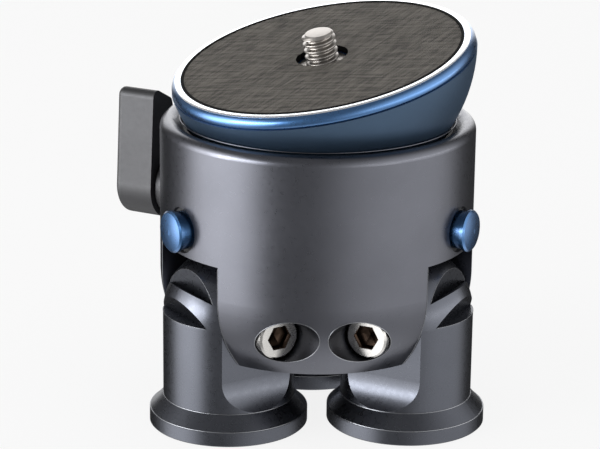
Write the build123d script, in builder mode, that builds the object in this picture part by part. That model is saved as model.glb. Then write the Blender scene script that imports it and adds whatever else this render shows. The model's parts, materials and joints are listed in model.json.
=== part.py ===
# Tripod leveling head: a half ball with a camera platform, clamped in a round
# housing by a cam lever, over three short legs that swing out of slots.
# Origin on the axis, in the plane that the feet stand on. Front is -Y, +Z is up.
from build123d import *
from math import acos, cos, degrees, hypot, radians, sin, sqrt, tan
import os

os.makedirs("parts", exist_ok=True)

# Driving dimensions, millimetres and degrees.
# Housing
housing_radius = 30.0
housing_bottom = 14.7
bottom_inset = 4.4
lobe_curve_radius = 23.0
rim_outer_rounding = 1.8
rim_slope_angle = 36.0
rim_inner_rounding = 0.25
bowl_opening_inset = 3.9
edge_break = 0.3

# Ball and platform
ball_inset = 0.3
ball_centre_height = 72.0
ball_rise = 14.7
ball_wall = 3.7
ball_opening_share = 0.49
ball_joint_depth = 5.25
tilt_angle = 13.2
tilt_heading_angle = -56.7
rim_inset = 0.6
bead_radius = 1.5
rim_width = 2.0
pad_depth = 3.0
pad_thickness = 1.3
pad_groove = 0.25
pad_hole_radius = 5.0
plate_boss_depth = 9.5

# Camera stud: 1/4"-20 above, 3/8"-16 below
stud_radius = 3.175
stud_height = 4.6
stud_point = 0.6
stud_root_radius = 4.76
stud_root_depth = 5.5

# Legs
leg_angles = {"left": -60.0, "right": 60.0, "back": 180.0}
leg_circle_share = 0.6533
bar_share = 0.6378
foot_flange_width = 2.6
bar_base_height = 5.5
foot_rim_height = 3.0
foot_edge = 0.2
foot_rim_edge = 0.25
flat_depth = 2.5
runout_height = 6.0
pivot_height = 21.8
leg_swing_angle = 80.0
notch_angle = 60.0
notch_step_angle = 28.0
notch_depth = 2.9
notch_opening_angle = 60.0
notch_count = 2

# Leg bearings and foot inserts: 3/8"-16 threads
bush_radius = 4.0
pivot_radius = 3.0
bush_flush = 0.2
insert_thread_radius = 4.76
insert_wall = 1.74
insert_length = 11.0
insert_flange_width = 1.0
insert_flange_height = 1.2

# Slots and pivots
slot_side_gap = 0.2
slot_gap = 0.3
pivot_wall = 5.3
pivot_head_height = 2.5
pivot_head_radius = 4.05
pivot_head_gap = 0.3
pivot_head_edge = 0.35
pivot_thread_radius = 2.0
pivot_tip_gap = 0.5
hex_width = 4.4
hex_depth = 2.0

# Buttons and latches
control_height = 39.4
button_radius = 3.95
button_reach = 2.8
button_rim = 0.35
button_dome = 0.35
button_cap_thickness = 1.3
button_neck_radius = 3.6
button_travel = 1.5
stem_radius = 1.2
guide_wall = 0.7
guide_length = 1.9
guide_inset = 0.8
latch_radius = 2.5
latch_offset_share = 0.384
latch_lift_gap = 0.3
latch_tooth_height = 2.0
latch_rise = 3.6
wedge_gap = 0.2
wedge_reach = 0.3
latch_spring_inset = 0.6
latch_spring_wire = 0.45
latch_spring_turns = 4
latch_spring_length = 4.9

# Clamp
cavity_radius = 6.0
cavity_drop = 7.8
eye_gap = 0.1
eye_height = 8.8
eye_drop = 5.0
cam_radius = 2.4
cam_offset = 0.4
cam_half_length = 3.4
bolt_radius = 3.0
bolt_top_drop = 15.0
cup_gap = 0.3
cup_bottom_drop = 24.8
cup_top_drop = 17.2
cup_recess_radius = 11.5
cup_recess_drop = 20.7
nut_width = 10.0
nut_height = 4.0
spring_disc_radius = 5.5
spring_disc_thickness = 0.7
spring_disc_rise = 0.7
spring_disc_count = 2
seat_low_angle = 47.0
seat_high_angle = 57.0
seat_gap = 0.3
seat_thickness = 2.6

# Lever and its shaft
lever_angle = -120.0
shaft_radius = 3.2
shaft_pilot_radius = 2.2
shaft_pilot_length = 5.0
shaft_bush_wall = 1.4
shaft_bush_share = 0.51
pilot_bush_wall = 1.2
lever_stand_off = 3.1
lever_thickness = 8.2
lever_hub_radius = 6.6
lever_reach = 20.5
lever_near = 5.2
lever_far = 1.8
lever_far_drop = 3.6
lever_edge = 1.2
lever_tip_round = 1.6
lever_gap = 0.2
collar_radius = 5.6
collar_inset = 0.8
screw_radius = 1.6
screw_head_radius = 2.9
screw_head_height = 1.8
screw_socket_share = 0.6
screw_length = 6.0

# Plate screws
plate_screw_count = 4
plate_screw_radius = 1.25
plate_screw_head_radius = 2.2
plate_screw_length = 3.0
shell_flange_width = 5.4
shell_flange_thickness = 3.5

# Clearances
running_fit = 0.05
overrun = 1.0

# Derived sizes
housing_top = ball_centre_height - ball_rise
housing_bottom_radius = housing_radius - bottom_inset
bowl_opening_radius = housing_radius - bowl_opening_inset
crest_radius = housing_radius - rim_outer_rounding
slope_start_radius = crest_radius - rim_outer_rounding * sin(radians(rim_slope_angle))
slope_start = housing_top - rim_outer_rounding * (1 - cos(radians(rim_slope_angle)))
bowl_opening = slope_start - (slope_start_radius - bowl_opening_radius) * tan(radians(rim_slope_angle))
bowl_radius = hypot(bowl_opening_radius, ball_centre_height - bowl_opening)
ball_radius = housing_radius - ball_inset
ball_inner_radius = ball_radius - ball_wall
ball_opening_radius = ball_radius * ball_opening_share
seat_radius = ball_radius + seat_gap
seat_back_radius = seat_radius + seat_thickness
cup_radius = ball_inner_radius - cup_gap
rim_radius = ball_radius - rim_inset
pad_recess_radius = rim_radius - rim_width
bead_centre_radius = rim_radius - bead_radius
pad_radius = pad_recess_radius - pad_groove
leg_circle = housing_radius * leg_circle_share
bar_radius = leg_circle * bar_share
foot_radius = bar_radius + foot_flange_width
flat_half = bar_radius - flat_depth
notch_root_radius = bar_radius - notch_depth
insert_radius = insert_thread_radius + insert_wall
insert_flange_radius = insert_radius + insert_flange_width
runout_radius = (runout_height**2 + flat_depth**2) / (2 * flat_depth)
slot_half = flat_half + slot_side_gap
slot_arch_radius = bar_radius + slot_gap
slot_ceiling = pivot_height + slot_arch_radius
pocket_radius = pivot_head_radius + pivot_head_gap
pivot_seat = slot_half + pivot_wall
pivot_head_face = pivot_seat + pivot_head_height
button_face = housing_radius + button_reach
guide_face = housing_radius - guide_inset
guide_radius = button_neck_radius + running_fit + guide_wall
latch_circle_offset = bar_radius * latch_offset_share
button_axis = leg_circle + latch_circle_offset
latch_top = control_height + latch_rise
latch_spring_radius = latch_radius - latch_spring_inset
latch_tip = (
    pivot_height
    + (bar_radius - latch_circle_offset * cos(radians(leg_swing_angle))) / sin(radians(leg_swing_angle))
    + latch_lift_gap
)
cavity_floor = control_height - cavity_drop
eye_radius = cavity_radius - eye_gap
eye_bottom = control_height - eye_drop
eye_top = eye_bottom + eye_height
bolt_top = ball_centre_height - bolt_top_drop
cup_bottom = ball_centre_height - cup_bottom_drop
cup_top = ball_centre_height - cup_top_drop
cup_recess_floor = ball_centre_height - cup_recess_drop
shaft_bush_radius = shaft_radius + shaft_bush_wall
shaft_bush_start = housing_radius * shaft_bush_share
inner_bush_radius = shaft_pilot_radius + pilot_bush_wall
lever_inner_face = housing_radius + lever_stand_off
lever_outer_face = lever_inner_face + lever_thickness
lever_tip_height = control_height + lever_reach
collar_seat = housing_radius - collar_inset
shell_flange_depth = ball_joint_depth + shell_flange_thickness
shell_flange_radius = sqrt(ball_inner_radius**2 - shell_flange_depth**2) - shell_flange_width
plate_boss_radius = shell_flange_radius - edge_break
plate_screw_circle = shell_flange_radius + shell_flange_width / 2
plate_head_height = (ball_joint_depth - pad_depth - pad_thickness) / 2


def outward(azimuth):
    """Unit vector that points away from the axis at this azimuth."""
    return Vector(sin(radians(azimuth)), -cos(radians(azimuth)), 0)


def along(azimuth):
    """Unit vector square to outward, level."""
    return Vector(cos(radians(azimuth)), sin(radians(azimuth)), 0)


def side_plane(azimuth, radius=0.0):
    """Upright plane with x pointing outward and y up."""
    return Plane(origin=outward(azimuth) * radius, x_dir=outward(azimuth), z_dir=-along(azimuth))


def facing_plane(azimuth, radius, height=0.0):
    """Upright plane square to the radius, with x level and y up."""
    origin = outward(azimuth) * radius + Vector(0, 0, height)
    return Plane(origin=origin, x_dir=along(azimuth), z_dir=outward(azimuth))


def pivot_plane(azimuth, distance):
    """Plane square to a leg's pivot, this far along it, with x pointing outward."""
    origin = outward(azimuth) * leg_circle + along(azimuth) * distance
    return Plane(origin=origin + Vector(0, 0, pivot_height), x_dir=outward(azimuth), z_dir=along(azimuth))


def on_ball(radius, angle):
    """Point on a sphere about the ball centre, by its angle from straight down."""
    return (radius * sin(radians(angle)), ball_centre_height - radius * cos(radians(angle)))


def below(radius, depth):
    """Radius of a sphere's section at this depth below its centre."""
    return sqrt(radius**2 - depth**2)


section = Plane.XZ
tilt_normal = outward(tilt_heading_angle) * sin(radians(tilt_angle)) + Vector(0, 0, cos(radians(tilt_angle)))
tilt_axis = along(tilt_heading_angle)
ball_centre = Vector(0, 0, ball_centre_height)
ball_axis = Axis(ball_centre, tilt_normal)
ball_section = Plane(origin=ball_centre, x_dir=tilt_axis, z_dir=tilt_axis.cross(tilt_normal))


def ball_plane(depth):
    """Plane square to the tilted ball's own axis, this far below its centre."""
    return Plane(origin=ball_centre - tilt_normal * depth, x_dir=tilt_axis, z_dir=tilt_normal)


# Housing: a turned body whose lower edge curves in and whose rim slopes into a bowl,
# with three slots and the bores for pivots, buttons, latches and the clamp.
curve_angle = degrees(acos(1 - bottom_inset / lobe_curve_radius))
curve_start = housing_bottom + lobe_curve_radius * sin(radians(curve_angle))

with BuildPart() as housing:
    with BuildSketch(section):
        with BuildLine():
            Polyline((0, housing_bottom), (housing_bottom_radius, housing_bottom))
            RadiusArc(
                (housing_bottom_radius, housing_bottom),
                (housing_radius, curve_start),
                -lobe_curve_radius,
            )
            Line((housing_radius, curve_start), (housing_radius, housing_top - rim_outer_rounding))
            RadiusArc(
                (housing_radius, housing_top - rim_outer_rounding),
                (slope_start_radius, slope_start),
                -rim_outer_rounding,
            )
            Polyline(
                (slope_start_radius, slope_start),
                (bowl_opening_radius, bowl_opening),
                (0, bowl_opening),
                (0, housing_bottom),
            )
        make_face()
    revolve(axis=Axis.Z)
    with BuildSketch(section):
        with BuildLine():
            Line((0, ball_centre_height), on_ball(bowl_radius, 0))
            RadiusArc(on_ball(bowl_radius, 0), on_ball(bowl_radius, seat_low_angle), -bowl_radius)
            Line(on_ball(bowl_radius, seat_low_angle), on_ball(seat_back_radius, seat_low_angle))
            RadiusArc(
                on_ball(seat_back_radius, seat_low_angle),
                on_ball(seat_back_radius, seat_high_angle),
                -seat_back_radius,
            )
            Line(on_ball(seat_back_radius, seat_high_angle), on_ball(bowl_radius, seat_high_angle))
            RadiusArc(on_ball(bowl_radius, seat_high_angle), on_ball(bowl_radius, 90), -bowl_radius)
            Line(on_ball(bowl_radius, 90), (0, ball_centre_height))
        make_face()
    revolve(axis=Axis.Z, mode=Mode.SUBTRACT)
    rim_slope = housing.faces().filter_by(GeomType.CONE).sort_by(Axis.Z)[-1]
    opening_edge = rim_slope.edges().filter_by(GeomType.CIRCLE).sort_by(SortBy.RADIUS)[0]
    fillet(opening_edge, radius=rim_inner_rounding)
    with BuildSketch(Plane.XY.offset(cavity_floor)):
        Circle(cavity_radius)
    extrude(amount=housing_top - cavity_floor, mode=Mode.SUBTRACT)
    for azimuth in leg_angles.values():
        with BuildSketch(side_plane(azimuth)):
            with BuildLine():
                Polyline(
                    (leg_circle, slot_ceiling),
                    (housing_radius + overrun, slot_ceiling),
                    (housing_radius + overrun, housing_bottom - overrun),
                    (leg_circle - slot_arch_radius, housing_bottom - overrun),
                    (leg_circle - slot_arch_radius, pivot_height),
                )
                RadiusArc(
                    (leg_circle - slot_arch_radius, pivot_height),
                    (leg_circle, slot_ceiling),
                    slot_arch_radius,
                )
            make_face()
        extrude(amount=slot_half, both=True, mode=Mode.SUBTRACT)
        for side in (-1, 1):
            bore_plane = pivot_plane(azimuth, 0)
            with BuildSketch(bore_plane):
                Circle(pivot_radius + running_fit)
            extrude(amount=side * (pivot_seat + overrun), mode=Mode.SUBTRACT)
            with BuildSketch(pivot_plane(azimuth, side * pivot_seat)):
                Circle(pocket_radius)
            extrude(amount=side * housing_radius, mode=Mode.SUBTRACT)
        with BuildSketch(facing_plane(azimuth, guide_face - guide_length, control_height)):
            Circle(guide_radius)
        extrude(amount=guide_length + housing_radius, mode=Mode.SUBTRACT)
        with BuildSketch(facing_plane(azimuth, button_axis - latch_radius, control_height)):
            Circle(stem_radius + running_fit)
        extrude(amount=housing_radius, mode=Mode.SUBTRACT)
        latch_bottom = outward(azimuth) * button_axis + Vector(0, 0, slot_ceiling - overrun)
        with BuildSketch(Plane(origin=latch_bottom)):
            Circle(latch_radius + running_fit)
        extrude(
            amount=latch_top + latch_spring_length - slot_ceiling + overrun,
            mode=Mode.SUBTRACT,
        )
    with BuildSketch(facing_plane(lever_angle, 0, control_height)):
        Circle(shaft_radius + running_fit)
    extrude(amount=housing_radius, mode=Mode.SUBTRACT)
    with BuildSketch(facing_plane(lever_angle, shaft_bush_start, control_height)):
        Circle(shaft_bush_radius)
    extrude(amount=housing_radius, mode=Mode.SUBTRACT)
    with BuildSketch(facing_plane(lever_angle, 0, control_height)):
        Circle(inner_bush_radius)
    extrude(amount=-(cavity_radius + shaft_pilot_length), mode=Mode.SUBTRACT)
    with BuildSketch(facing_plane(lever_angle, collar_seat, control_height)):
        Circle(collar_radius + edge_break)
    extrude(amount=housing_radius, mode=Mode.SUBTRACT)
housing.part.label = "housing"
export_step(housing.part, "parts/housing.step")


# Seat ring: plastic zone that the ball turns in, held in a groove of the bowl.
with BuildPart() as seat_ring:
    with BuildSketch(section):
        with BuildLine():
            RadiusArc(
                on_ball(seat_radius, seat_low_angle),
                on_ball(seat_radius, seat_high_angle),
                -seat_radius,
            )
            Line(on_ball(seat_radius, seat_high_angle), on_ball(seat_back_radius, seat_high_angle))
            RadiusArc(
                on_ball(seat_back_radius, seat_high_angle),
                on_ball(seat_back_radius, seat_low_angle),
                seat_back_radius,
            )
            Line(on_ball(seat_back_radius, seat_low_angle), on_ball(seat_radius, seat_low_angle))
        make_face()
    revolve(axis=Axis.Z)
seat_ring.part.label = "seat_ring"
export_step(seat_ring.part, "parts/seat_ring.step")


# Ball shell: a hollow anodised zone with an open bottom and a flange for the plate.
def ball_point(radius, depth):
    return (radius, -depth)


opening_outer_depth = below(ball_radius, ball_opening_radius)
opening_inner_depth = below(ball_inner_radius, ball_opening_radius)
flange_outer = below(ball_inner_radius, shell_flange_depth)

with BuildPart() as ball_shell:
    with BuildSketch(ball_section):
        with BuildLine():
            Line(
                ball_point(shell_flange_radius, ball_joint_depth),
                ball_point(below(ball_radius, ball_joint_depth), ball_joint_depth),
            )
            RadiusArc(
                ball_point(below(ball_radius, ball_joint_depth), ball_joint_depth),
                ball_point(ball_opening_radius, opening_outer_depth),
                ball_radius,
            )
            Line(
                ball_point(ball_opening_radius, opening_outer_depth),
                ball_point(ball_opening_radius, opening_inner_depth),
            )
            RadiusArc(
                ball_point(ball_opening_radius, opening_inner_depth),
                ball_point(flange_outer, shell_flange_depth),
                -ball_inner_radius,
            )
            Polyline(
                ball_point(flange_outer, shell_flange_depth),
                ball_point(shell_flange_radius, shell_flange_depth),
                ball_point(shell_flange_radius, ball_joint_depth),
            )
        make_face()
    revolve(axis=ball_axis)
    with BuildSketch(ball_plane(ball_joint_depth)):
        with PolarLocations(plate_screw_circle, plate_screw_count):
            Circle(plate_screw_radius)
    extrude(amount=-plate_screw_length, mode=Mode.SUBTRACT)
ball_shell.part.label = "ball_shell"
export_step(ball_shell.part, "parts/ball_shell.step")

# Top plate: platform with a round bead for a rim, a recess for the pad and a boss
# below that sits in the shell's flange.
bead_foot_radius = bead_centre_radius + below(bead_radius, ball_joint_depth - pad_depth - bead_radius)

with BuildPart() as top_plate:
    with BuildSketch(ball_section):
        with BuildLine():
            Polyline(
                ball_point(0, pad_depth + pad_thickness),
                ball_point(pad_recess_radius, pad_depth + pad_thickness),
                ball_point(pad_recess_radius, pad_depth),
                ball_point(bead_centre_radius, pad_depth),
            )
            RadiusArc(
                ball_point(bead_centre_radius, pad_depth),
                ball_point(bead_foot_radius, ball_joint_depth),
                bead_radius,
            )
            Polyline(
                ball_point(bead_foot_radius, ball_joint_depth),
                ball_point(plate_boss_radius, ball_joint_depth),
                ball_point(plate_boss_radius, plate_boss_depth),
                ball_point(0, plate_boss_depth),
                ball_point(0, pad_depth + pad_thickness),
            )
        make_face()
    revolve(axis=ball_axis)
    with BuildSketch(ball_plane(pad_depth + pad_thickness)):
        Circle(stud_root_radius)
    extrude(amount=-stud_root_depth, mode=Mode.SUBTRACT)
    with BuildSketch(ball_plane(pad_depth + pad_thickness)):
        with PolarLocations(plate_screw_circle, plate_screw_count):
            Circle(plate_screw_radius + running_fit)
    extrude(amount=-ball_joint_depth, mode=Mode.SUBTRACT)
    with BuildSketch(ball_plane(pad_depth + pad_thickness)):
        with PolarLocations(plate_screw_circle, plate_screw_count):
            Circle(plate_screw_head_radius + running_fit)
    extrude(amount=-plate_head_height, mode=Mode.SUBTRACT)
top_plate.part.label = "top_plate"
export_step(top_plate.part, "parts/top_plate.step")

with BuildPart() as plate_screws:
    with BuildSketch(ball_plane(pad_depth + pad_thickness)):
        with PolarLocations(plate_screw_circle, plate_screw_count):
            Circle(plate_screw_head_radius)
    extrude(amount=-plate_head_height)
    with BuildSketch(ball_plane(pad_depth + pad_thickness)):
        with PolarLocations(plate_screw_circle, plate_screw_count):
            Circle(plate_screw_radius)
    extrude(amount=-(ball_joint_depth - pad_depth - pad_thickness + plate_screw_length))
plate_screws.part.label = "plate_screws"
export_step(plate_screws.part, "parts/plate_screws.step")

with BuildPart() as rubber_pad:
    with BuildSketch(ball_plane(pad_depth + pad_thickness)):
        Circle(pad_radius)
        Circle(pad_hole_radius, mode=Mode.SUBTRACT)
    extrude(amount=pad_thickness)
rubber_pad.part.label = "rubber_pad"
export_step(rubber_pad.part, "parts/rubber_pad.step")

# Camera stud: a reversible screw, thin end up, its shoulder level with the platform.
with BuildPart() as camera_stud:
    with BuildSketch(ball_plane(pad_depth + pad_thickness + stud_root_depth)):
        Circle(stud_root_radius)
    extrude(amount=stud_root_depth)
    with BuildSketch(ball_plane(pad_depth + pad_thickness)):
        Circle(stud_radius)
    extrude(amount=pad_thickness + stud_height)
    chamfer(camera_stud.faces().sort_by(ball_axis)[-1].edges(), length=stud_point)
camera_stud.part.label = "camera_stud"
export_step(camera_stud.part, "parts/camera_stud.step")

# Clamp cup: inside the ball, drawn down on its inner wall.
cup_low_angle = degrees(acos((ball_centre_height - cup_bottom) / cup_radius))
cup_high_angle = degrees(acos((ball_centre_height - cup_top) / cup_radius))
with BuildPart() as clamp_cup:
    with BuildSketch(section):
        with BuildLine():
            RadiusArc(on_ball(cup_radius, cup_low_angle), on_ball(cup_radius, cup_high_angle), -cup_radius)
            Polyline(
                on_ball(cup_radius, cup_high_angle),
                (cup_recess_radius, cup_top),
                (cup_recess_radius, cup_recess_floor),
                (bolt_radius + running_fit, cup_recess_floor),
                (bolt_radius + running_fit, cup_bottom),
                on_ball(cup_radius, cup_low_angle),
            )
        make_face()
    revolve(axis=Axis.Z)
clamp_cup.part.label = "clamp_cup"
export_step(clamp_cup.part, "parts/clamp_cup.step")

# Draw bolt: a foot with a round eye for the cam, and a shank up to the cup.
with BuildPart() as draw_bolt:
    with BuildSketch(Plane.XY.offset(eye_bottom)):
        Circle(eye_radius)
    extrude(amount=eye_top - eye_bottom)
    with BuildSketch(Plane.XY.offset(eye_top)):
        Circle(bolt_radius)
    extrude(amount=bolt_top - eye_top)
    with BuildSketch(facing_plane(lever_angle, 0, control_height)):
        Circle(cam_radius + cam_offset + eye_gap)
    extrude(amount=eye_radius + overrun, both=True, mode=Mode.SUBTRACT)
    with BuildSketch(facing_plane(lever_angle, cam_half_length, control_height)):
        Circle(shaft_radius + eye_gap)
    extrude(amount=eye_radius, mode=Mode.SUBTRACT)
draw_bolt.part.label = "draw_bolt"
export_step(draw_bolt.part, "parts/draw_bolt.step")

with BuildPart() as draw_nut:
    with BuildSketch(Plane.XY.offset(cup_recess_floor)):
        RegularPolygon(nut_width / 2, 6, major_radius=False)
        Circle(bolt_radius, mode=Mode.SUBTRACT)
    extrude(amount=nut_height)
draw_nut.part.label = "draw_nut"
export_step(draw_nut.part, "parts/draw_nut.step")

# Disc springs: two shallow cones, back to back, that lift the bolt when it is freed.
with BuildPart() as disc_springs:
    for index in range(spring_disc_count):
        rise = spring_disc_rise if index % 2 == 0 else -spring_disc_rise
        base = cavity_floor + index * (spring_disc_thickness + spring_disc_rise)
        rim_height = base + (spring_disc_rise if index % 2 else 0)
        with BuildSketch(section):
            with BuildLine():
                Polyline(
                    (bolt_radius, rim_height + rise),
                    (spring_disc_radius, rim_height),
                    (spring_disc_radius, rim_height + spring_disc_thickness),
                    (bolt_radius, rim_height + rise + spring_disc_thickness),
                    (bolt_radius, rim_height + rise),
                )
            make_face()
        revolve(axis=Axis.Z)
disc_springs.part.label = "disc_springs"
export_step(disc_springs.part, "parts/disc_springs.step")

# Clamp shaft: a stepped bar with a short cam between two bearings.
cam_plane = facing_plane(lever_angle, -cam_half_length, control_height)
with BuildPart() as cam_shaft:
    with BuildSketch(facing_plane(lever_angle, cam_half_length, control_height)):
        Circle(shaft_radius)
    extrude(amount=lever_outer_face - screw_head_height - cam_half_length)
    with BuildSketch(cam_plane):
        with Locations((0, -cam_offset)):
            Circle(cam_radius)
    extrude(amount=2 * cam_half_length)
    with BuildSketch(cam_plane):
        Circle(shaft_pilot_radius)
    extrude(amount=-(cavity_radius + shaft_pilot_length - cam_half_length - running_fit))
    with BuildSketch(facing_plane(lever_angle, lever_outer_face - screw_head_height, control_height)):
        Circle(screw_radius)
    extrude(amount=-screw_length, mode=Mode.SUBTRACT)
cam_shaft.part.label = "cam_shaft"
export_step(cam_shaft.part, "parts/cam_shaft.step")

with BuildPart() as shaft_bush:
    with BuildSketch(facing_plane(lever_angle, shaft_bush_start, control_height)):
        Circle(shaft_bush_radius)
        Circle(shaft_radius + running_fit, mode=Mode.SUBTRACT)
    extrude(amount=collar_seat - shaft_bush_start)
shaft_bush.part.label = "shaft_bush"
export_step(shaft_bush.part, "parts/shaft_bush.step")

with BuildPart() as pilot_bush:
    with BuildSketch(facing_plane(lever_angle, -cavity_radius - edge_break, control_height)):
        Circle(inner_bush_radius)
        Circle(shaft_pilot_radius + running_fit, mode=Mode.SUBTRACT)
    extrude(amount=-(shaft_pilot_length - edge_break))
pilot_bush.part.label = "pilot_bush"
export_step(pilot_bush.part, "parts/pilot_bush.step")

with BuildPart() as lever_collar:
    with BuildSketch(facing_plane(lever_angle, collar_seat, control_height)):
        Circle(collar_radius)
    extrude(amount=lever_inner_face - lever_gap - collar_seat)
    collar_face = lever_collar.faces().sort_by(Axis((0, 0, 0), outward(lever_angle)))[-1]
    chamfer(collar_face.edges(), length=edge_break)
    with BuildSketch(facing_plane(lever_angle, collar_seat, control_height)):
        Circle(shaft_radius + running_fit)
    extrude(amount=collar_radius, mode=Mode.SUBTRACT)
lever_collar.part.label = "lever_collar"
export_step(lever_collar.part, "parts/lever_collar.step")

# Lever: a flat-sided arm that grows out of a round hub.
with BuildPart() as lever:
    with BuildSketch(facing_plane(lever_angle, lever_inner_face, 0)):
        with Locations((0, control_height)):
            Circle(lever_hub_radius)
        with BuildLine():
            Polyline(
                (lever_hub_radius, control_height),
                (lever_near, lever_tip_height),
                (-lever_far, lever_tip_height - lever_far_drop),
                (-lever_hub_radius, control_height),
                close=True,
            )
        make_face()
    extrude(amount=lever_outer_face - lever_inner_face)
    tip_edges = lever.edges().filter_by(Axis((0, 0, 0), outward(lever_angle))).sort_by(Axis.Z)[-2:]
    fillet(tip_edges, radius=lever_tip_round)
    outer_face = lever.faces().sort_by(Axis((0, 0, 0), outward(lever_angle)))[-1]
    fillet(outer_face.edges(), radius=lever_edge)
    with BuildSketch(facing_plane(lever_angle, lever_inner_face, control_height)):
        Circle(shaft_radius)
    extrude(amount=lever_outer_face - lever_inner_face - screw_head_height, mode=Mode.SUBTRACT)
    with BuildSketch(facing_plane(lever_angle, lever_outer_face, control_height)):
        Circle(screw_head_radius + running_fit)
    extrude(amount=-screw_head_height, mode=Mode.SUBTRACT)
lever.part.label = "lever"
export_step(lever.part, "parts/lever.step")

with BuildPart() as lever_screw:
    with BuildSketch(facing_plane(lever_angle, lever_outer_face - screw_head_height, control_height)):
        Circle(screw_head_radius)
    extrude(amount=screw_head_height)
    with BuildSketch(facing_plane(lever_angle, lever_outer_face - screw_head_height, control_height)):
        Circle(screw_radius)
    extrude(amount=-screw_length)
    with BuildSketch(facing_plane(lever_angle, lever_outer_face, control_height)):
        RegularPolygon(screw_radius, 6, major_radius=False)
    extrude(amount=-screw_head_height * screw_socket_share, mode=Mode.SUBTRACT)
lever_screw.part.label = "lever_screw"
export_step(lever_screw.part, "parts/lever_screw.step")

# Pivots: a sleeve nut from one side and a screw from the other, in each leg.
with BuildPart() as pivot_sleeves:
    for azimuth in leg_angles.values():
        with BuildSketch(pivot_plane(azimuth, -pivot_head_face)):
            Circle(pivot_head_radius)
        extrude(amount=pivot_head_height)
        with BuildSketch(pivot_plane(azimuth, -pivot_seat)):
            Circle(pivot_radius)
        extrude(amount=2 * pivot_seat)
        with BuildSketch(pivot_plane(azimuth, pivot_seat)):
            Circle(pivot_thread_radius)
        extrude(amount=-pivot_seat, mode=Mode.SUBTRACT)
        with BuildSketch(pivot_plane(azimuth, -pivot_head_face)):
            RegularPolygon(hex_width / 2, 6, major_radius=False)
        extrude(amount=hex_depth, mode=Mode.SUBTRACT)
    sleeve_rims = [
        edge
        for edge in pivot_sleeves.edges().filter_by(GeomType.CIRCLE)
        if abs(edge.radius - pivot_head_radius) < edge_break
        and any(
            abs((edge.position_at(0) - pivot_plane(azimuth, -pivot_head_face).origin).dot(along(azimuth)))
            < edge_break
            for azimuth in leg_angles.values()
        )
    ]
    chamfer(sleeve_rims, length=pivot_head_edge)
pivot_sleeves.part.label = "pivot_sleeves"
export_step(pivot_sleeves.part, "parts/pivot_sleeves.step")

with BuildPart() as pivot_screws:
    for azimuth in leg_angles.values():
        with BuildSketch(pivot_plane(azimuth, pivot_seat)):
            Circle(pivot_head_radius)
        extrude(amount=pivot_head_height)
        with BuildSketch(pivot_plane(azimuth, pivot_seat)):
            Circle(pivot_thread_radius)
        extrude(amount=-(pivot_seat - pivot_tip_gap))
        with BuildSketch(pivot_plane(azimuth, pivot_head_face)):
            RegularPolygon(hex_width / 2, 6, major_radius=False)
        extrude(amount=-hex_depth, mode=Mode.SUBTRACT)
    screw_rims = [
        edge
        for edge in pivot_screws.edges().filter_by(GeomType.CIRCLE)
        if abs(edge.radius - pivot_head_radius) < edge_break
        and any(
            abs((edge.position_at(0) - pivot_plane(azimuth, pivot_head_face).origin).dot(along(azimuth)))
            < edge_break
            for azimuth in leg_angles.values()
        )
    ]
    chamfer(screw_rims, length=pivot_head_edge)
pivot_screws.part.label = "pivot_screws"
export_step(pivot_screws.part, "parts/pivot_screws.step")

# Button guides: dark bushes that the button necks run in.
with BuildPart() as button_guides:
    for azimuth in leg_angles.values():
        with BuildSketch(facing_plane(azimuth, guide_face - guide_length, control_height)):
            Circle(guide_radius)
            Circle(button_neck_radius + running_fit, mode=Mode.SUBTRACT)
        extrude(amount=guide_length)
button_guides.part.label = "button_guides"
export_step(button_guides.part, "parts/button_guides.step")


def make_leg(azimuth):
    """Round leg with two milled flats, a domed and notched top and a flanged foot."""
    axis_plane = side_plane(azimuth, leg_circle)
    cross_plane = facing_plane(azimuth, leg_circle)
    reach = 2 * bar_radius
    with BuildPart() as leg:
        with BuildSketch(axis_plane):
            with BuildLine():
                Polyline(
                    (0, 0),
                    (foot_radius - foot_edge, 0),
                    (foot_radius, foot_edge),
                    (foot_radius, foot_rim_height - foot_rim_edge),
                    (foot_radius - foot_rim_edge, foot_rim_height),
                    (bar_radius, bar_base_height),
                    (bar_radius, pivot_height),
                )
                RadiusArc((bar_radius, pivot_height), (0, pivot_height + bar_radius), -bar_radius)
                Line((0, pivot_height + bar_radius), (0, 0))
            make_face()
        revolve(axis=Axis(axis_plane.origin, (0, 0, 1)))
        for side in (-1, 1):
            with BuildSketch(cross_plane):
                with BuildLine():
                    Polyline(
                        (side * flat_half, bar_base_height + runout_height),
                        (side * flat_half, pivot_height + reach),
                        (side * reach, pivot_height + reach),
                        (side * reach, bar_base_height),
                        (side * bar_radius, bar_base_height),
                    )
                    RadiusArc(
                        (side * bar_radius, bar_base_height),
                        (side * flat_half, bar_base_height + runout_height),
                        side * runout_radius,
                    )
                make_face()
            extrude(amount=reach, both=True, mode=Mode.SUBTRACT)
        for index in range(notch_count):
            root_angle = radians(notch_angle + index * notch_step_angle)
            face_angle = radians(90 - index * notch_step_angle)
            ledge_angle = radians(90 - notch_opening_angle - index * notch_step_angle)
            root = (notch_root_radius * sin(root_angle), pivot_height + notch_root_radius * cos(root_angle))
            with BuildSketch(axis_plane):
                with BuildLine():
                    Polyline(
                        root,
                        (root[0] + bar_radius * cos(face_angle), root[1] + bar_radius * sin(face_angle)),
                        (root[0] + bar_radius * cos(ledge_angle), root[1] + bar_radius * sin(ledge_angle)),
                        close=True,
                    )
                make_face()
            extrude(amount=reach, both=True, mode=Mode.SUBTRACT)
        with BuildSketch(pivot_plane(azimuth, 0)):
            Circle(bush_radius)
        extrude(amount=reach, both=True, mode=Mode.SUBTRACT)
        with BuildSketch(Plane(origin=axis_plane.origin)):
            Circle(insert_radius)
        extrude(amount=insert_length, mode=Mode.SUBTRACT)
        with BuildSketch(Plane(origin=axis_plane.origin)):
            Circle(insert_flange_radius)
        extrude(amount=insert_flange_height, mode=Mode.SUBTRACT)
    return leg.part


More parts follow.
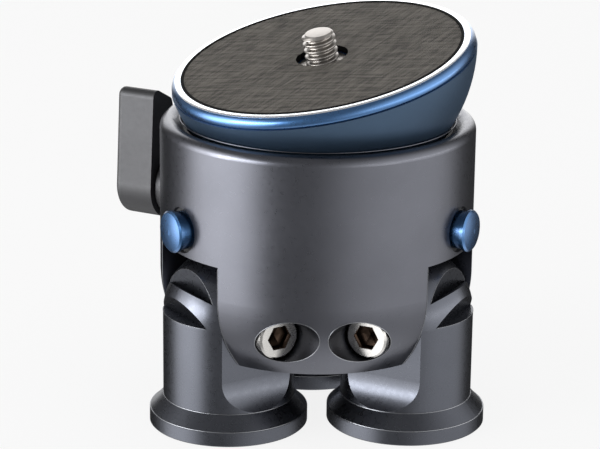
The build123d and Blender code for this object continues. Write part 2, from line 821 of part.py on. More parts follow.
def make_bush(azimuth):
    with BuildPart() as bush:
        with BuildSketch(pivot_plane(azimuth, 0)):
            Circle(bush_radius)
            Circle(pivot_radius + running_fit, mode=Mode.SUBTRACT)
        extrude(amount=flat_half - bush_flush, both=True)
    return bush.part


def make_insert(azimuth):
    """Threaded steel bush in the underside of a foot."""
    with BuildPart() as insert:
        with BuildSketch(Plane(origin=outward(azimuth) * leg_circle)):
            Circle(insert_flange_radius)
        extrude(amount=insert_flange_height)
        with BuildSketch(Plane(origin=outward(azimuth) * leg_circle)):
            Circle(insert_radius)
        extrude(amount=insert_length)
        with BuildSketch(Plane(origin=outward(azimuth) * leg_circle)):
            Circle(insert_thread_radius)
        extrude(amount=insert_length, mode=Mode.SUBTRACT)
    return insert.part


def make_button(azimuth):
    """Domed cap, waisted neck and a stem with a wedge that lifts the latch."""
    cap_back = button_face - button_cap_thickness
    dome_edge = button_face - button_dome
    dome_foot = control_height + button_radius - button_rim
    dome_radius = ((button_radius - button_rim) ** 2 + button_dome**2) / (2 * button_dome)
    neck_end = guide_face - guide_length + button_travel + slot_gap
    with BuildPart() as button:
        with BuildSketch(side_plane(azimuth)):
            with BuildLine():
                Polyline(
                    (button_face, control_height),
                    (cap_back, control_height),
                    (cap_back, control_height + button_radius),
                    (dome_edge - button_rim, control_height + button_radius),
                    (dome_edge, dome_foot),
                )
                RadiusArc((dome_edge, dome_foot), (button_face, control_height), dome_radius)
            make_face()
        revolve(axis=Axis((0, 0, control_height), outward(azimuth)))
        with BuildSketch(facing_plane(azimuth, neck_end, control_height)):
            Circle(button_neck_radius)
        extrude(amount=cap_back - neck_end)
        with BuildSketch(facing_plane(azimuth, button_axis + wedge_reach, control_height)):
            Circle(stem_radius)
        extrude(amount=neck_end - button_axis - wedge_reach)
        with BuildSketch(side_plane(azimuth)):
            with BuildLine():
                start = button_axis + wedge_reach
                Polyline(
                    (start, control_height - stem_radius),
                    (start + 2 * stem_radius, control_height + stem_radius),
                    (start, control_height + stem_radius),
                    close=True,
                )
            make_face()
        extrude(amount=stem_radius, both=True, mode=Mode.SUBTRACT)
    return button.part


def make_latch(azimuth):
    """Upright pin with a wedge tooth below and a notch that the stem lifts."""
    origin = outward(azimuth) * button_axis
    shoulder = latch_tip + latch_tooth_height
    tooth_half = latch_tooth_height * tan(radians(notch_opening_angle / 2))
    with BuildPart() as latch:
        with BuildSketch(Plane(origin=origin + Vector(0, 0, latch_tip))):
            Circle(latch_radius)
        extrude(amount=latch_top - latch_tip)
        for side in (-1, 1):
            with BuildSketch(side_plane(azimuth)):
                with BuildLine():
                    Polyline(
                        (button_axis, latch_tip),
                        (button_axis + side * tooth_half, shoulder),
                        (button_axis + side * 2 * latch_radius, shoulder),
                        (button_axis + side * 2 * latch_radius, latch_tip),
                        close=True,
                    )
                make_face()
            extrude(amount=latch_radius, both=True, mode=Mode.SUBTRACT)
        slope = wedge_gap * sqrt(2)
        top_x = button_axis + wedge_reach - slope
        notch_floor = control_height - stem_radius - wedge_gap - button_travel
        with BuildSketch(side_plane(azimuth)):
            with BuildLine():
                Polyline(
                    (top_x - button_travel - wedge_gap, notch_floor),
                    (top_x + 2 * latch_radius, control_height - stem_radius + 2 * latch_radius),
                    (top_x + 2 * latch_radius, notch_floor),
                    close=True,
                )
            make_face()
        extrude(amount=latch_radius, both=True, mode=Mode.SUBTRACT)
    return latch.part


def make_latch_spring(azimuth):
    """Compression spring on top of the latch."""
    base = Vector(0, 0, latch_top + latch_spring_wire + running_fit) + outward(azimuth) * button_axis
    pitch = (latch_spring_length - 2 * (latch_spring_wire + running_fit)) / latch_spring_turns
    with BuildPart() as spring:
        with BuildLine() as wire:
            Helix(
                pitch=pitch,
                height=pitch * latch_spring_turns,
                radius=latch_spring_radius - latch_spring_wire,
                center=base,
            )
        with BuildSketch(Plane(origin=wire.line @ 0, z_dir=wire.line % 0)):
            RegularPolygon(latch_spring_wire, 6)
        sweep(path=wire.line, is_frenet=True)
    return spring.part


for name, azimuth in leg_angles.items():
    pieces = {
        f"leg_{name}": make_leg(azimuth),
        f"leg_bush_{name}": make_bush(azimuth),
        f"foot_insert_{name}": make_insert(azimuth),
        f"button_{name}": make_button(azimuth),
        f"latch_{name}": make_latch(azimuth),
        f"latch_spring_{name}": make_latch_spring(azimuth),
    }
    for label, piece in pieces.items():
        piece.label = label
        export_step(piece, f"parts/{label}.step")
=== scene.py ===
# Tripod leveling head on a pale table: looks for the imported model, in metres.
import json
import math

import bmesh
import bpy
import numpy as np
from mathutils import Matrix, Vector


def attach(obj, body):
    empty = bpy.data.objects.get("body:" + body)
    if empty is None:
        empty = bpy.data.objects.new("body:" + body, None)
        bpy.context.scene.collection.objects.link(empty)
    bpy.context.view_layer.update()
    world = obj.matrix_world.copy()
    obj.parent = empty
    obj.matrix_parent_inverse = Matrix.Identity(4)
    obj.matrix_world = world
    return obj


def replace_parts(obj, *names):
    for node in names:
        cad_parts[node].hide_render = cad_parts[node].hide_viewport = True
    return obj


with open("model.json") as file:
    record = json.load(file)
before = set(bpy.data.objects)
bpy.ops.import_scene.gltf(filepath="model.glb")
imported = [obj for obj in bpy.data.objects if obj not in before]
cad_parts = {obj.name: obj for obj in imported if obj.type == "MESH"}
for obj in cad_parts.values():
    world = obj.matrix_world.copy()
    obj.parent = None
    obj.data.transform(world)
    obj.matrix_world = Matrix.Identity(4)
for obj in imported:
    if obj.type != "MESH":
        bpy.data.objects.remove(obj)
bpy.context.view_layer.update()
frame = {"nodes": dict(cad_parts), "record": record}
nodes = frame["nodes"]
mm = 0.001
fullTurn = 2 * math.pi
weldDistance = 1e-7
legAzimuth = {"left": -60.0, "right": 60.0, "back": 180.0}


def outward(azimuth):  # level unit vector away from the housing's axis
    a = math.radians(azimuth)
    return np.array((math.sin(a), -math.cos(a), 0.0))


def along(azimuth):  # level unit vector square to outward
    a = math.radians(azimuth)
    return np.array((math.cos(a), math.sin(a), 0.0))


def towards(azimuth, elevation):  # unit vector from the object to a place round it
    a = math.radians(elevation)
    return outward(azimuth) * math.cos(a) + np.array((0.0, 0.0, math.sin(a)))


def beside(azimuth, reach, across, height):  # points by their distance outward, sideways and up
    return np.outer(reach, outward(azimuth)) + np.outer(across, along(azimuth)) + np.outer(height, (0, 0, 1))


# The tilted ball's own frame: normal, the axis it tilts about, and the third side.
ball = dict(tilt=13.2, azimuth=-56.7, centre=np.array((0.0, 0.0, 72.0 * mm)))
tiltRad = math.radians(ball["tilt"])
plateNormal = outward(ball["azimuth"]) * math.sin(tiltRad) + np.array((0.0, 0.0, math.cos(tiltRad)))
plateAcross = along(ball["azimuth"])
plateDown = np.cross(plateNormal, plateAcross)


def onPlate(x, y, depth, first=plateAcross, second=plateDown):
    # A point by its two places on the plate and its depth below the ball's centre.
    return (
        ball["centre"]
        + np.multiply.outer(x, first)
        + np.multiply.outer(y, second)
        - np.multiply.outer(depth, plateNormal)
    )


def platePoint(radius, angle, depth):  # points round the plate's own axis, in metres from millimetres
    return onPlate(radius * np.cos(angle) * mm, radius * np.sin(angle) * mm, depth * mm + 0 * angle)


def circle(count):  # angles of evenly spaced points round a circle, in one row
    return np.linspace(0, fullTurn, count, endpoint=False)[None, :]


def meshPiece(name, points, faces, body, material, smoothAngle=35.0):
    mesh = bpy.data.meshes.new(name)
    mesh.from_pydata(np.asarray(points, float).reshape(-1, 3).tolist(), [], np.asarray(faces).tolist())
    mesh.validate()
    mesh.materials.append(material)
    piece = bpy.data.objects.new(name, mesh)
    bpy.context.scene.collection.objects.link(piece)
    work = bmesh.new()
    work.from_mesh(mesh)
    bmesh.ops.remove_doubles(work, verts=work.verts, dist=weldDistance)
    bmesh.ops.recalc_face_normals(work, faces=work.faces)
    work.to_mesh(mesh)
    work.free()
    mesh.shade_smooth()
    mesh.set_sharp_from_angle(angle=math.radians(smoothAngle))
    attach(piece, body)
    return piece


def gridFaces(rows, columns, wrap=False):
    # Quads between neighbours on a grid; with wrap, the last column joins the first.
    index = np.arange(rows * columns).reshape(rows, columns)
    right = np.roll(index, -1, axis=1)
    a, b, c, d = index[:-1], right[:-1], right[1:], index[1:]
    quads = np.stack((a, b, c, d), axis=-1)
    return (quads if wrap else quads[:, :-1]).reshape(-1, 4)


def newMaterial(name):
    material = bpy.data.materials.new(name)
    material.use_nodes = True
    tree = material.node_tree
    shader = tree.nodes["Principled BSDF"]
    where = tree.nodes.new("ShaderNodeTexCoord").outputs["Object"]
    return material, tree, shader, where


def noiseOf(tree, where, scale, detail=3.0, stretch=None):
    if stretch:
        mapping = tree.nodes.new("ShaderNodeMapping")
        mapping.inputs["Scale"].default_value = stretch
        tree.links.new(where, mapping.inputs["Vector"])
        where = mapping.outputs["Vector"]
    noise = tree.nodes.new("ShaderNodeTexNoise")
    noise.inputs["Scale"].default_value = scale
    noise.inputs["Detail"].default_value = detail
    tree.links.new(where, noise.inputs["Vector"])
    return noise.outputs["Fac"]


def turnedBy(tree, where, rotation):  # the same places, read along turned axes
    mapping = tree.nodes.new("ShaderNodeMapping")
    mapping.vector_type = "TEXTURE"
    mapping.inputs["Rotation"].default_value = rotation
    tree.links.new(where, mapping.inputs["Vector"])
    return mapping.outputs["Vector"]


def mathOf(tree, operation, *values):  # one Math node, whose values are sockets or plain numbers
    node = tree.nodes.new("ShaderNodeMath")
    node.operation = operation
    for place, value in zip(node.inputs, values):
        if isinstance(value, float):
            place.default_value = value
        else:
            tree.links.new(value, place)
    return node.outputs[0]


def rampOf(tree, value, stops):
    ramp = tree.nodes.new("ShaderNodeValToRGB")
    spots = ramp.color_ramp.elements
    while len(spots) < len(stops):
        spots.new(0.5)
    for spot, (position, colour) in zip(spots, stops):
        spot.position = position
        spot.color = (*colour, 1.0)
    tree.links.new(value, ramp.inputs["Fac"])
    return ramp.outputs["Color"]


def grey(level):
    return (level, level, level)


def bumpFrom(tree, shader, height, strength, distance):
    bump = tree.nodes.new("ShaderNodeBump")
    bump.inputs["Strength"].default_value = strength
    bump.inputs["Distance"].default_value = distance
    tree.links.new(height, bump.inputs["Height"])
    tree.links.new(bump.outputs["Normal"], shader.inputs["Normal"])


skin = dict(
    drift=90.0, driftDetail=4.0, patch=1400.0, patchSpread=0.03, ends=(0.3, 0.7),
    grainDetail=2.0, grainHeight=0.00004, coatRoughness=0.2, coatIor=1.76,
)


def blasted(name, colour, roughness, spread=0.06, grain=5200.0, strength=0.1, metallic=1.0, coat=0.0, specular=0.5):
    # Bead-blasted and anodised metal: colour drifts a little, roughness a little, and a fine grain stands up.
    material, tree, shader, where = newMaterial(name)
    shader.inputs["Metallic"].default_value = metallic
    shader.inputs["Coat Weight"].default_value = coat
    shader.inputs["Specular IOR Level"].default_value = specular
    shader.inputs["Coat Roughness"].default_value = skin["coatRoughness"]
    shader.inputs["Coat IOR"].default_value = skin["coatIor"]
    first, last = skin["ends"]
    dark = tuple(c * (1 - spread) for c in colour)
    light = tuple(min(1.0, c * (1 + spread)) for c in colour)
    drift = noiseOf(tree, where, skin["drift"], skin["driftDetail"])
    tree.links.new(rampOf(tree, drift, ((first, dark), (last, light))), shader.inputs["Base Color"])
    patch = noiseOf(tree, where, skin["patch"])
    low, high = grey(roughness - skin["patchSpread"]), grey(roughness + skin["patchSpread"])
    tree.links.new(rampOf(tree, patch, ((first, low), (last, high))), shader.inputs["Roughness"])
    bumpFrom(tree, shader, noiseOf(tree, where, grain, skin["grainDetail"]), strength, skin["grainHeight"])
    return material


bodyFinish = blasted("bodyFinish", (0.112, 0.115, 0.132), 0.3)
legFinish = blasted("legFinish", (0.092, 0.097, 0.113), 0.29)
# A neutral grey with its own roughness and metalness, set darker than the housing's to stand in for the lesser light
# on the lever: painted shade.
leverShadedGrey = blasted("leverShadedGrey", (0.07, 0.07, 0.073), 0.5, metallic=0.75)
blueFinish = blasted("blueFinish", (0.036, 0.14, 0.34), 0.29, grain=7000.0, strength=0.03, coat=0.75)
ballFinish = blasted("ballFinish", (0.056, 0.094, 0.15), 0.45, grain=6000.0, strength=0.06, metallic=0.8)
steelFinish = blasted("steelFinish", (0.47, 0.46, 0.445), 0.28, spread=0.15, grain=3000.0, strength=0.12)
cutFinish = blasted("cutFinish", (0.93, 0.95, 0.98), 0.25, spread=0.02, grain=3000.0, strength=0.02)
bareFinish = blasted("bareFinish", (0.85, 0.86, 0.88), 0.2, grain=3000.0, strength=0.04)
studFinish = blasted("studFinish", (0.42, 0.395, 0.37), 0.34, grain=3000.0, strength=0.05)
springFinish = blasted("springFinish", (0.5, 0.5, 0.5), 0.3)
bronzeFinish = blasted("bronzeFinish", (0.55, 0.38, 0.2), 0.35)
blackFinish = blasted("blackFinish", (0.02, 0.02, 0.022), 0.5, metallic=0.0)
# Near black and nearly without gloss: painted shade in the groove round the pad and on the pad's cut walls.
paintedGrooveShade = blasted("paintedGrooveShade", (0.005, 0.005, 0.005), 0.7, metallic=0.0, specular=0.04)
# Lighter than the body: a painted highlight on the fine edge rounds, which are real edge breaks.
edgeHighlightFinish = blasted("edgeHighlightFinish", (0.2, 0.205, 0.22), 0.35, spread=0.25, grain=2500.0, strength=0.1)
# Dark brown for the lining of the hex sockets: painted shade for their depth.
socketPaintedShade = blasted("socketPaintedShade", (0.045, 0.03, 0.022), 0.32, spread=0.5, grain=2500.0, strength=0.15)
print("materials made")

slotLook = {
    "body_aluminium": bodyFinish,
    "blue_anodised": blueFinish,
    "lever_grey": leverShadedGrey,
    "bare_aluminium": bareFinish,
    "bright_steel": steelFinish,
    "spring_steel": springFinish,
    "bronze": bronzeFinish,
    "black_plastic": blackFinish,
    "pad_rubber": blackFinish,
}
for part in frame["record"]["subparts"]:
    node = nodes[part["node"]]
    look = slotLook[part["material_slot"]]
    if node.name.startswith("leg_") and "bush" not in node.name:
        look = legFinish
    if node.name == "ball_shell":
        look = ballFinish
    if not node.material_slots:
        node.data.materials.append(look)
    for place in node.material_slots:
        place.material = look
print("finishes given to", len(nodes), "nodes")

stud = dict(
    radius=3.175, root=2.45, pitch=1.27, top=-1.6, start=4.3, bottom=9.8, collar=4.76, point=0.55, edge=0.15,
    crest=1.22, flank=2.8, cap=((0.97, 0.03), (0.9, 0.05), (0.004, 0.05)), axis=0.01,
    around=96, perTurn=20, smooth=40,
)


def makeStud():
    # Distance from the axis is a rounded saw tooth of height along the axis less one turn's share of the angle,
    # cut off by a cone at the tip, over a plain root whose shoulder is level with the platform.
    start, collar, edge = stud["start"], stud["collar"], stud["edge"]
    length = start - stud["top"]
    rows = int(length / stud["pitch"] * stud["perTurn"]) + 1
    rise = np.linspace(0, length, rows)[:, None]
    angle = circle(stud["around"])
    phase = (rise / stud["pitch"] - angle / fullTurn) % 1.0
    tooth = np.clip(stud["crest"] - np.abs(phase - 0.5) * stud["flank"], 0.0, 1.0)
    tooth = tooth * tooth * (3 - 2 * tooth)
    radius = stud["root"] + (stud["radius"] - stud["root"]) * tooth
    radius = np.minimum(radius, stud["radius"] - stud["point"] + (length - rise))
    thread = platePoint(radius, angle, start - rise)
    base = ((stud["axis"], stud["bottom"]), (collar, stud["bottom"]), (collar, start + edge), (collar - edge, start))
    base = np.array(base)
    foot = platePoint(base[:, :1], angle, base[:, 1:])
    cap = np.array(stud["cap"])
    lid = platePoint(radius[-1:] * cap[:, :1], angle, stud["top"] - cap[:, 1:])
    points = np.concatenate((foot, thread, lid))
    faces = gridFaces(len(points), stud["around"], True)
    return meshPiece("camera_stud_thread", points, faces, "ball", studFinish, stud["smooth"])


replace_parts(makeStud(), "camera_stud")
print("camera stud made")

pad = dict(
    radius=26.6, hole=5.0, top=3.0, bottom=4.3, ribs=112, perRib=6, along=18, height=0.15, roundness=0.8,
    angle=106.0, rows=33.0, wallLimit=0.3, smooth=50,
)
ribTurn = math.radians(pad["angle"])
plateAlongRibs = plateAcross * math.cos(ribTurn) + plateDown * math.sin(ribTurn)
plateOverRibs = np.cross(plateNormal, plateAlongRibs)
rubber = dict(
    colour=(0.13, 0.119, 0.104), shades=(0.45, 1.6), ends=(0.38, 0.62),
    streaks=(260.0, 2900.0, 260.0), streakDetail=4.0, rows=(150.0, 1350.0, 150.0),
    patch=700.0, roughness=(0.5, 0.66), patchEnds=(0.3, 0.7),
    weave=(900.0, 5200.0, 900.0), weaveStrength=0.35, weaveHeight=0.00005,
)


def padRubber():
    # Brown-grey rubber: fine broken streaks run along the ribs, and fainter rows cross them.
    material, tree, shader, where = newMaterial("padRubber")
    axes = Matrix((plateAlongRibs, plateOverRibs, plateNormal)).transposed()
    turned = turnedBy(tree, where, axes.to_euler())
    crossed = turnedBy(tree, turned, (0.0, 0.0, math.radians(pad["rows"] - pad["angle"])))
    streaks = noiseOf(tree, turned, 1.0, rubber["streakDetail"], stretch=rubber["streaks"])
    rows = noiseOf(tree, crossed, 1.0, stretch=rubber["rows"])
    half = mathOf(tree, "MULTIPLY", mathOf(tree, "ADD", streaks, rows), 0.5)
    shades = [tuple(c * k for c in rubber["colour"]) for k in rubber["shades"]]
    tree.links.new(rampOf(tree, half, tuple(zip(rubber["ends"], shades))), shader.inputs["Base Color"])
    levels = [grey(level) for level in rubber["roughness"]]
    patch = noiseOf(tree, turned, rubber["patch"])
    tree.links.new(rampOf(tree, patch, tuple(zip(rubber["patchEnds"], levels))), shader.inputs["Roughness"])
    weave = noiseOf(tree, turned, 1.0, stretch=rubber["weave"])
    bumpFrom(tree, shader, weave, rubber["weaveStrength"], rubber["weaveHeight"])
    return material


def makePad():
    # The top is a row of rounded ridges of the place across them. At every place across, each half of the disc
    # runs from the chord of the hole to the chord of the edge, and then down its wall.
    outer, hole = pad["radius"], pad["hole"]
    over = np.linspace(-outer, outer, pad["ribs"] * pad["perRib"] + 1)
    over = np.unique(np.concatenate((over, (-hole, hole))))[:, None]
    ridge = (0.5 + 0.5 * np.cos(over * math.pi * pad["ribs"] / outer)) ** pad["roundness"]
    top = pad["top"] + pad["height"] * (1 - ridge)
    near = np.sqrt(np.clip(hole**2 - over**2, 0, None))
    far = np.sqrt(np.clip(outer**2 - over**2, 0, None))
    share = np.linspace(0, 1, pad["along"])[None, :]
    inside = np.where(near > 0, pad["bottom"], top)
    depth = np.concatenate((inside, top + 0 * share, top * 0 + pad["bottom"]), axis=1)
    halves = []
    for side in (1, -1):
        run = np.concatenate((side * near, side * (near + (far - near) * share), side * far), axis=1)
        halves.append(onPlate(run * mm, (over + 0 * run) * mm, depth * mm, plateAlongRibs, plateOverRibs))
    rows, columns = halves[0].shape[:2]
    faces = gridFaces(rows, columns)
    faces = np.concatenate((faces, faces + rows * columns))
    points = np.concatenate([half.reshape(-1, 3) for half in halves])
    piece = meshPiece("pad_ribbed", points, faces, "ball", padRubber(), pad["smooth"])
    piece.data.materials.append(paintedGrooveShade)
    normals = np.empty(len(piece.data.polygons) * 3)
    piece.data.polygons.foreach_get("normal", normals)
    walls = normals.reshape(-1, 3) @ plateNormal < pad["wallLimit"]  # the cut walls are painted black as shade, the top is not
    piece.data.polygons.foreach_set("material_index", walls.astype(np.int32))
    return piece


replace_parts(makePad(), "rubber_pad")
print("ribbed pad made")


def ringPiece(name, profile, frameOf, body, material, around, smoothAngle=25):
    # A closed profile of radius and height, in millimetres, carried round an axis.
    loop = np.array(profile + profile[:1])
    points = frameOf(loop[:, :1], circle(around), loop[:, 1:])
    return meshPiece(name, points, gridFaces(len(loop), around, True), body, material, smoothAngle)


band = dict(
    inner=27.1, bead=27.6, round=1.5, top=3.0, turn=26.0, steps=7, proud=0.02, under=0.15,
    edge=((0.01, 0.3), (-0.01, 0.05)), lip=0.05, around=240,
)


def makeBand():
    # Flat from the pad's groove to the bead, then over its shoulder by the given angle, a hair proud of the plate.
    bead, top, inner = band["bead"], band["top"], band["inner"]
    turn = np.radians(np.linspace(0, band["turn"], band["steps"]))
    outer = band["round"] + band["proud"]
    centre = top + band["round"]
    shoulder = [(bead + outer * math.sin(a), centre - outer * math.cos(a)) for a in turn]
    below = band["round"] - band["under"]
    under = [(bead + below * math.sin(turn[-1]), centre - below * math.cos(turn[-1]))]
    edge = [(inner + away, top + down) for away, down in band["edge"]] + [(inner + band["lip"], top - band["proud"])]
    profile = edge + shoulder + under
    ringPiece("rim_cut_band", profile, platePoint, "ball", cutFinish, band["around"])


makeBand()
print("cut band made")

grooveShade = dict(inner=26.52, outer=27.09, top=2.89, bottom=3.6, round=0.05, around=240)


def makeGrooveShade():
    # A flat black ring with a rounded shoulder that fills the groove between the pad and the cut band, as painted
    # shade for the groove.
    inner, outer, top, bottom, turn = (grooveShade[k] for k in ("inner", "outer", "top", "bottom", "round"))
    profile = [(inner, bottom), (inner, top), (outer - turn, top), (outer, top + turn), (outer, bottom)]
    ringPiece("pad_groove_shade", profile, platePoint, "ball", paintedGrooveShade, grooveShade["around"])


makeGrooveShade()
print("pad seal made")

housing = dict(
    radius=30.0, bottom=14.7, inset=4.4, curve=23.0, legCircle=19.599,
    slotHalf=10.2, slotCeiling=34.6, pivot=21.8, pocket=4.35,
)
fineEdge = dict(
    around=8, end=1e-6, offAxis=1e-9, smooth=60,
    pocketRound=0.09, pocketSteps=96, slotRound=0.07, slotSteps=40, slotGap=0.02,
)


def wallRadius(z):
    # The housing's outer radius at a height: straight, then one arc that curves in below.
    drop = housing["curve"]
    start = housing["bottom"] + drop * math.sqrt(1 - (1 - housing["inset"] / drop) ** 2)
    under = np.clip(start - z, 0, None)
    return housing["radius"] - drop + np.sqrt(drop**2 - under**2)


def edgeBead(name, path, radius, body, closed=False):
    # A fine round carried along an edge's points, painted lighter than the body as a highlight: each ring lies
    # square to the line between its neighbours.
    path = np.asarray(path) * mm
    if closed:
        run = np.roll(path, -1, axis=0) - np.roll(path, 1, axis=0)
    else:
        run = np.gradient(path, axis=0)
    run /= np.linalg.norm(run, axis=1, keepdims=True)
    aside = np.cross(run, path * (1, 1, 0) + fineEdge["offAxis"])
    aside /= np.linalg.norm(aside, axis=1, keepdims=True)
    over = np.cross(run, aside)
    angle = circle(fineEdge["around"])[:, :, None]
    size = np.full((len(path), 1, 1), radius * mm)
    if not closed:
        size[0] = size[-1] = fineEdge["end"]
    points = path[:, None] + size * (np.cos(angle) * aside[:, None] + np.sin(angle) * over[:, None])
    if closed:
        points = np.concatenate((points, points[:1]))
    faces = gridFaces(len(points), fineEdge["around"], True)
    meshPiece(name, points, faces, body, edgeHighlightFinish, fineEdge["smooth"])


def pocketEdge(azimuth, side):
    # Where a pocket's cylinder meets the wall: at each height and reach, the distance along the pivot that
    # brings the point out to the wall's radius.
    t = circle(fineEdge["pocketSteps"])[0]
    reach = housing["legCircle"] + housing["pocket"] * np.cos(t)
    z = housing["pivot"] + housing["pocket"] * np.sin(t)
    distance = np.sqrt(np.clip(wallRadius(z) ** 2 - reach**2, 0, None))
    return beside(azimuth, reach, side * distance, z)


def slotEdge(azimuth, side):
    # Where a slot's upright side meets the wall, from the housing's lower edge to the slot's ceiling.
    gap, half = fineEdge["slotGap"], side * housing["slotHalf"]
    z = np.linspace(housing["bottom"] + gap, housing["slotCeiling"] - gap, fineEdge["slotSteps"])
    return beside(azimuth, np.sqrt(wallRadius(z) ** 2 - half**2), half, z)


for side, azimuth in legAzimuth.items():
    for way, label in ((1, "a"), (-1, "b")):
        pocketName, slotName = ("%s_edge_%s_%s" % (kind, side, label) for kind in ("pocket", "slot"))
        edgeBead(pocketName, pocketEdge(azimuth, way), fineEdge["pocketRound"], "base", closed=True)
        edgeBead(slotName, slotEdge(azimuth, way), fineEdge["slotRound"], "base")

edgeRing = dict(foot=(14.975, 2.875), bar=(12.5, 5.5), bowl=(26.2, 57.2), round=0.12, sides=8, around=200)


def makeEdgeRing(name, place, centre, body, material=edgeHighlightFinish):
    # A fine round of eight sides on a broken edge, carried round an upright axis through the centre; unless told
    # otherwise it is painted lighter than the body as a highlight.
    def ringPoint(reach, angle, rise):
        return (np.stack((reach * np.cos(angle), reach * np.sin(angle), rise + 0 * angle), axis=-1) + centre) * mm

    t = np.radians(np.arange(0, 360, 360 // edgeRing["sides"]))
    radius, height = place
    profile = list(zip(radius + edgeRing["round"] * np.cos(t), height + edgeRing["round"] * np.sin(t)))
    ringPiece(name, profile, ringPoint, body, material, edgeRing["around"])


makeEdgeRing("rim_inner_edge", edgeRing["bowl"], np.zeros(3), "base", bodyFinish)
for side, azimuth in legAzimuth.items():
    legCentre = outward(azimuth) * housing["legCircle"]
    for kind in ("foot", "bar"):
        makeEdgeRing("%s_edge_%s" % (kind, side), edgeRing[kind], legCentre, "leg_%s_body" % side)

# The upper notch's upright face and the lower notch's ledge, as angles of their root and of their own plane.
notch = dict(
    radius=12.5, root=9.6, planes={"face": (60.0, 90.0), "ledge": (88.0, 2.0)}, share=0.999, steps=48, round=0.06,
)


def notchEdge(azimuth, rootAngle, planeAngle):
    # For each place across the leg, the point where the plane through the notch's root comes out of the dome.
    radius, root, share = notch["radius"], notch["root"], notch["share"]
    turn, rise = math.radians(rootAngle), math.radians(planeAngle)
    across = np.linspace(-share, share, notch["steps"]) * math.sqrt(radius**2 - root**2)
    middle = root * (math.sin(turn) * math.cos(rise) + math.cos(turn) * math.sin(rise))
    far = np.sqrt(middle**2 + radius**2 - root**2 - across**2) - middle
    reach = housing["legCircle"] + root * math.sin(turn) + far * math.cos(rise)
    return beside(azimuth, reach, across, housing["pivot"] + root * math.cos(turn) + far * math.sin(rise))


for side, azimuth in legAzimuth.items():
    for kind, angles in notch["planes"].items():
        edgeBead("notch_%s_%s" % (kind, side), notchEdge(azimuth, *angles), notch["round"], "leg_%s_body" % side)
print("edge breaks made")

socket = dict(
    width=4.4, depth=2.0, face=18.0, gap=0.02, mouth=0.12, wall=0.3, toe=(0.1, 0.05), floor=0.02,
    smooth=25, skin=0.00001,
)


def makeSocketShade(name, azimuth, side):
    # A six-sided well: each ring is a hexagon of radius, the last ones closing the floor to a point. It lines the
    # hex socket in dark brown as painted shade.
    corner, deep, floor = socket["width"] / math.sqrt(3), socket["depth"], socket["floor"]
    wide = corner - socket["gap"]
    toeIn, toeUp = socket["toe"]
    mouth, bottom = (wide, socket["mouth"]), (wide, deep - socket["wall"])
    rings = np.array((mouth, bottom, (corner - toeIn, deep - toeUp), (floor, deep - floor)))
    t = np.radians(np.arange(0, 360, 60))[None, :]
    radius, depth = rings[:, :1], rings[:, 1:]
    centre = (outward(azimuth) * housing["legCircle"] + np.array((0, 0, housing["pivot"]))) * mm
    points = (
        centre
        + np.multiply.outer(side * (socket["face"] - depth + 0 * t) * mm, along(azimuth))
        + np.multiply.outer(radius * np.cos(t) * mm, outward(azimuth))
        + np.multiply.outer(radius * np.sin(t) * mm, np.array((0, 0, 1.0)))
    )
    faces = gridFaces(len(rings), t.size, True)
    piece = meshPiece(name, points, faces, "base", socketPaintedShade, socket["smooth"])
    wall = piece.modifiers.new("wall", "SOLIDIFY")
    wall.thickness, wall.offset = socket["skin"], 0.0


for side, azimuth in legAzimuth.items():
    makeSocketShade("socket_%s_screw" % side, azimuth, 1)
    makeSocketShade("socket_%s_sleeve" % side, azimuth, -1)
print("sockets made")

# The camera was fitted to outline points of the photograph.
shot = dict(
    distance=473.54, elevation=17.11, azimuth=-2.84, roll=0.69, focal=2464.0,
    aimX=-3.18, aimZ=35.77, imageWidth=600, sensor=36.0, clip=(0.05, 20.0),
)


def makeCamera():
    el, az, roll = (math.radians(shot[k]) for k in ("elevation", "azimuth", "roll"))
    back = Vector((math.sin(az) * math.cos(el), -math.cos(az) * math.cos(el), math.sin(el)))
    aim = Vector((shot["aimX"] * math.cos(az), shot["aimX"] * math.sin(az), shot["aimZ"]))
    level = Vector((math.cos(az), math.sin(az), 0.0))
    upright = back.cross(level)
    right = level * math.cos(roll) + upright * math.sin(roll)
    upward = upright * math.cos(roll) - level * math.sin(roll)
    data = bpy.data.cameras.new("shotCamera")
    data.sensor_width = shot["sensor"]
    data.lens = shot["focal"] / shot["imageWidth"] * shot["sensor"]
    data.clip_start, data.clip_end = shot["clip"]
    camera = bpy.data.objects.new("shotCamera", data)
    place = Matrix((right, upward, back)).transposed().to_4x4()
    place.translation = (aim + back * shot["distance"]) * mm
    camera.matrix_world = place
    bpy.context.scene.collection.objects.link(camera)
    bpy.context.scene.camera = camera


makeCamera()

lamps = {
    "leftSoftbox": dict(azimuth=-60, elevation=10, size=(0.5, 0.26), power=3.0, colour=(0.95, 0.97, 1.0)),
    "rightSoftbox": dict(azimuth=65, elevation=5, size=(1.4, 0.12), power=0.85, colour=(1.0, 0.99, 0.97)),
}
lampDistance = 0.75
aimPoint = Vector((0.0, 0.0, 0.038))
for name, lamp in lamps.items():
    data = bpy.data.lights.new(name, "AREA")
    data.shape = "RECTANGLE"
    data.size, data.size_y = lamp["size"]
    data.energy = lamp["power"]
    data.color = lamp["colour"]
    way = Vector(towards(lamp["azimuth"], lamp["elevation"]))
    light = bpy.data.objects.new(name, data)
    light.location = aimPoint + way * lampDistance
    light.rotation_euler = way.to_track_quat("Z", "Y").to_euler()
    bpy.context.scene.collection.objects.link(light)

floorLook = dict(size=6.0, colour=(0.86, 0.86, 0.86), roughness=0.8, glow=0.86)


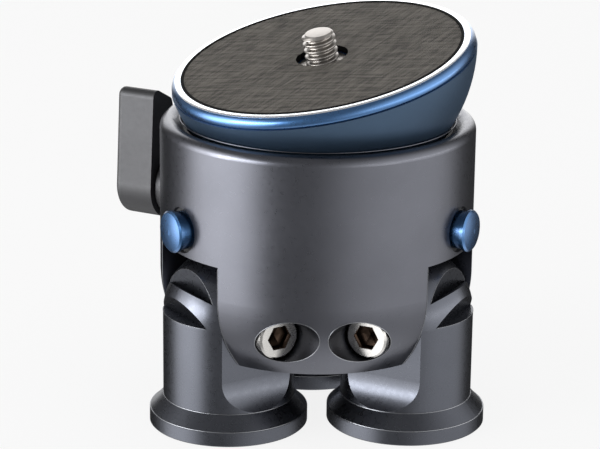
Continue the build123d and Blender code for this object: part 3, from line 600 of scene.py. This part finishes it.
def makeFloor():
    half = floorLook["size"] / 2
    mesh = bpy.data.meshes.new("floor")
    corners = [(-half, -half, 0), (half, -half, 0), (half, half, 0), (-half, half, 0)]
    mesh.from_pydata(corners, [], [(0, 1, 2, 3)])
    floor = bpy.data.objects.new("floor", mesh)
    bpy.context.scene.collection.objects.link(floor)
    material, tree, shader = newMaterial("floorPaint")[:3]
    shader.inputs["Base Color"].default_value = (*floorLook["colour"], 1.0)
    shader.inputs["Roughness"].default_value = floorLook["roughness"]
    glow = tree.nodes.new("ShaderNodeEmission")
    path = tree.nodes.new("ShaderNodeLightPath")
    mix = tree.nodes.new("ShaderNodeMixShader")
    seen = mathOf(tree, "MULTIPLY", path.outputs["Is Camera Ray"], floorLook["glow"])
    tree.links.new(seen, mix.inputs["Fac"])
    tree.links.new(shader.outputs["BSDF"], mix.inputs[1])
    tree.links.new(glow.outputs["Emission"], mix.inputs[2])
    tree.links.new(mix.outputs["Shader"], tree.nodes["Material Output"].inputs["Surface"])
    mesh.materials.append(material)
    floor.visible_glossy = False  # the metal shows the studio's panels below the table's edge, not the table


makeFloor()

# What the metal shows, step by step: where each step's middle lies, the spread of its edge, and its value
# outside and inside. Panels add, and black flags and the table's edge multiply what came before them.
sky = dict(
    fill=0.6,
    steps=(
        dict(way="ADD", azimuth=-77, elevation=-10, edge=(0.76, 0.99), span=(0.0, 4.3)),
        dict(way="ADD", azimuth=-84, elevation=16, edge=(0.86, 0.96), span=(0.0, 2.2)),
        dict(way="ADD", azimuth=72, elevation=-10, edge=(0.12, 1.05), span=(0.0, 1.7)),
        dict(way="MULTIPLY", azimuth=0, elevation=90, edge=(-0.42, -0.2), span=(0.35, 1.0)),
        dict(way="ADD", azimuth=0, elevation=90, edge=(-1.0, 1.0), span=(0.33, 0.33)),
        dict(way="MULTIPLY", azimuth=172, elevation=-16, edge=(0.25, 0.75), span=(1.0, 0.1)),
        dict(way="ADD", azimuth=180, elevation=15, edge=(0.84, 0.96), span=(0.0, 2.2)),
        dict(way="ADD", azimuth=0, elevation=-90, edge=(0.6, 0.95), span=(0.0, 0.9)),
    ),
)


def makeWorld():
    # White to the camera. To the metal, each step's value follows the dot product with its middle.
    world = bpy.data.worlds.new("studio")
    bpy.context.scene.world = world
    world.use_nodes = True
    world.cycles.sampling_method = "NONE"
    tree = world.node_tree
    where = tree.nodes.new("ShaderNodeTexCoord").outputs["Generated"]
    total = 0.0
    for step in sky["steps"]:
        dot = tree.nodes.new("ShaderNodeVectorMath")
        dot.operation = "DOT_PRODUCT"
        dot.inputs[1].default_value = towards(step["azimuth"], step["elevation"])
        tree.links.new(where, dot.inputs[0])
        spread = tree.nodes.new("ShaderNodeMapRange")
        spread.interpolation_type = "SMOOTHSTEP"
        spread.inputs["From Min"].default_value, spread.inputs["From Max"].default_value = step["edge"]
        spread.inputs["To Min"].default_value, spread.inputs["To Max"].default_value = step["span"]
        tree.links.new(dot.outputs["Value"], spread.inputs["Value"])
        total = mathOf(tree, step["way"], total, spread.outputs["Result"])
    path = tree.nodes.new("ShaderNodeLightPath")
    glossy = tree.nodes.new("ShaderNodeMix")
    glossy.data_type = "RGBA"
    glossy.inputs["A"].default_value = (*grey(sky["fill"]), 1.0)
    tree.links.new(path.outputs["Is Glossy Ray"], glossy.inputs["Factor"])
    tree.links.new(total, glossy.inputs["B"])
    seen = tree.nodes.new("ShaderNodeMix")
    seen.data_type = "RGBA"
    seen.inputs["B"].default_value = (1.0, 1.0, 1.0, 1.0)
    tree.links.new(path.outputs["Is Camera Ray"], seen.inputs["Factor"])
    tree.links.new(glossy.outputs["Result"], seen.inputs["A"])
    tree.links.new(seen.outputs["Result"], tree.nodes["Background"].inputs["Color"])


makeWorld()
bpy.context.scene.view_settings.view_transform = "Standard"
print("studio made")
